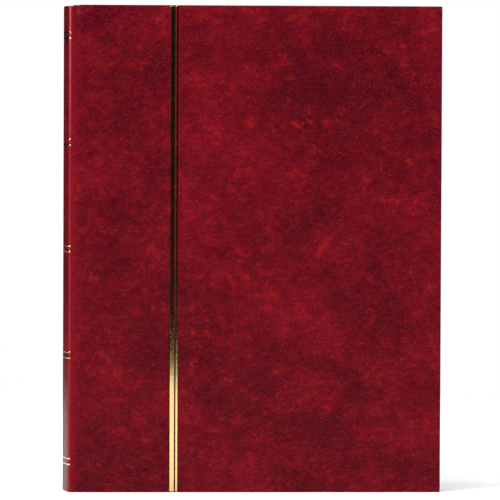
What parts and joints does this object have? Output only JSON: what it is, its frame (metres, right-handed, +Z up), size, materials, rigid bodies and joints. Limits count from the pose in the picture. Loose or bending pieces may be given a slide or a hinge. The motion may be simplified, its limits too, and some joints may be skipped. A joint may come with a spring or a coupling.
{
  "type": "stamp album",
  "caption": "Hardbound stamp album with a leatherette case, gold foil lines and hinged card leaves with clear pocket strips, standing slightly open.",
  "frame": {"origin": "foot of the spine panel, at the middle of its thickness, on the surface the album stands on", "axes": "+Z up along the spine, +X from the spine towards the fore-edge along the album's middle plane, front cover on the -Y side"},
  "size_m": [0.2307, 0.0996, 0.305],
  "materials": {
    "leatherette": "satin mottled crimson leatherette",
    "greyboard": "matt grey bookbinding board",
    "kraft_paper": "matt brown kraft",
    "gold_foil": "bright stamped gold foil",
    "guard_card": "matt black card",
    "endpaper": "matt ivory endpaper",
    "black_card": "matt black page card",
    "clear_film": "clear glossy film",
    "linen": "fine black linen tape",
    "glassine": "translucent smooth glassine"
  },
  "bodies": {
    "spine": {"spine_board": "greyboard", "spine_leatherette": "leatherette", "spine_lining": "kraft_paper", "spine_foil_bands": "gold_foil", "leaf_guards": "guard_card", "front_joint_leatherette": "leatherette", "back_joint_leatherette": "leatherette"},
    "front_cover": {"front_board": "greyboard", "front_leatherette": "leatherette", "front_pastedown": "endpaper", "cover_foil_wide": "gold_foil", "cover_foil_thin": "gold_foil"},
    "back_cover": {"back_board": "greyboard", "back_leatherette": "leatherette", "back_pastedown": "endpaper"},
    "front_flyleaf": {"front_flyleaf": "endpaper", "front_endpaper_fold": "endpaper"},
    "back_flyleaf": {"back_flyleaf": "endpaper", "back_endpaper_fold": "endpaper"},
    "leaf_1": {"leaf_1_card": "black_card", "leaf_1_hinge": "linen", "leaf_1_strips": "clear_film", "interleaf_1": "glassine"},
    "leaf_2": {"leaf_2_card": "black_card", "leaf_2_hinge": "linen", "leaf_2_strips": "clear_film", "interleaf_2": "glassine"},
    "leaf_3": {"leaf_3_card": "black_card", "leaf_3_hinge": "linen", "leaf_3_strips": "clear_film", "interleaf_3": "glassine"},
    "leaf_4": {"leaf_4_card": "black_card", "leaf_4_hinge": "linen", "leaf_4_strips": "clear_film", "interleaf_4": "glassine"},
    "leaf_8": {"leaf_8_card": "black_card", "leaf_8_hinge": "linen", "leaf_8_strips": "clear_film", "interleaf_7": "glassine"},
    "leaf_7": {"leaf_7_card": "black_card", "leaf_7_hinge": "linen", "leaf_7_strips": "clear_film", "interleaf_6": "glassine"},
    "leaf_6": {"leaf_6_card": "black_card", "leaf_6_hinge": "linen", "leaf_6_strips": "clear_film", "interleaf_5": "glassine"},
    "leaf_5": {"leaf_5_card": "black_card", "leaf_5_hinge": "linen", "leaf_5_strips": "clear_film"}
  },
  "joints": [
    {"name": "front_cover_hinge", "type": "hinge", "parent": "spine", "child": "front_cover", "pos_m": [0.0029, -0.0084, 0.1525], "axis": [0, 0, -1], "range_deg": [-10, 80], "deforming": ["front_joint_leatherette"]},
    {"name": "front_flyleaf_hinge", "type": "hinge", "parent": "spine", "child": "front_flyleaf", "pos_m": [0.0049, -0.00635, 0.1525], "axis": [0, 0, -1], "range_deg": [-9.71, 77.61], "deforming": ["front_endpaper_fold"]},
    {"name": "leaf_1_hinge_line", "type": "hinge", "parent": "spine", "child": "leaf_1", "pos_m": [0.0056, -0.00507, 0.1525], "axis": [0, 0, -1], "range_deg": [-9.41, 75.21], "deforming": ["leaf_1_hinge"]},
    {"name": "leaf_2_hinge_line", "type": "hinge", "parent": "spine", "child": "leaf_2", "pos_m": [0.0063, -0.00363, 0.1525], "axis": [0, 0, -1], "range_deg": [-9.01, 72.01], "deforming": ["leaf_2_hinge"]},
    {"name": "leaf_3_hinge_line", "type": "hinge", "parent": "spine", "child": "leaf_3", "pos_m": [0.007, -0.00217, 0.1525], "axis": [0, 0, -1], "range_deg": [-8.61, 68.81], "deforming": ["leaf_3_hinge"]},
    {"name": "leaf_4_hinge_line", "type": "hinge", "parent": "spine", "child": "leaf_4", "pos_m": [0.0077, -0.00072, 0.1525], "axis": [0, 0, -1], "range_deg": [-8.21, 65.61], "deforming": ["leaf_4_hinge"]},
    {"name": "back_cover_hinge", "type": "hinge", "parent": "spine", "child": "back_cover", "pos_m": [0.0029, 0.0084, 0.1525], "axis": [0, 0, 1], "range_deg": [-10, 80], "deforming": ["back_joint_leatherette"]},
    {"name": "back_flyleaf_hinge", "type": "hinge", "parent": "spine", "child": "back_flyleaf", "pos_m": [0.0049, 0.00635, 0.1525], "axis": [0, 0, 1], "range_deg": [-9.71, 77.61], "deforming": ["back_endpaper_fold"]},
    {"name": "leaf_8_hinge_line", "type": "hinge", "parent": "spine", "child": "leaf_8", "pos_m": [0.0056, 0.00507, 0.1525], "axis": [0, 0, 1], "range_deg": [-9.41, 75.21], "deforming": ["leaf_8_hinge"]},
    {"name": "leaf_7_hinge_line", "type": "hinge", "parent": "spine", "child": "leaf_7", "pos_m": [0.0063, 0.00363, 0.1525], "axis": [0, 0, 1], "range_deg": [-9.01, 72.01], "deforming": ["leaf_7_hinge"]},
    {"name": "leaf_6_hinge_line", "type": "hinge", "parent": "spine", "child": "leaf_6", "pos_m": [0.007, 0.00217, 0.1525], "axis": [0, 0, 1], "range_deg": [-8.61, 68.81], "deforming": ["leaf_6_hinge"]},
    {"name": "leaf_5_hinge_line", "type": "hinge", "parent": "spine", "child": "leaf_5", "pos_m": [0.0077, 0.00072, 0.1525], "axis": [0, 0, 1], "range_deg": [-8.21, 65.61], "deforming": ["leaf_5_hinge"]}
  ],
  "couplings": [
    {"joint": "front_flyleaf_hinge", "follows": "front_cover_hinge", "ratio": 0.97},
    {"joint": "leaf_1_hinge_line", "follows": "front_cover_hinge", "ratio": 0.94},
    {"joint": "leaf_2_hinge_line", "follows": "front_cover_hinge", "ratio": 0.9},
    {"joint": "leaf_3_hinge_line", "follows": "front_cover_hinge", "ratio": 0.86},
    {"joint": "leaf_4_hinge_line", "follows": "front_cover_hinge", "ratio": 0.82},
    {"joint": "back_flyleaf_hinge", "follows": "back_cover_hinge", "ratio": 0.97},
    {"joint": "leaf_8_hinge_line", "follows": "back_cover_hinge", "ratio": 0.94},
    {"joint": "leaf_7_hinge_line", "follows": "back_cover_hinge", "ratio": 0.9},
    {"joint": "leaf_6_hinge_line", "follows": "back_cover_hinge", "ratio": 0.86},
    {"joint": "leaf_5_hinge_line", "follows": "back_cover_hinge", "ratio": 0.82}
  ]
}
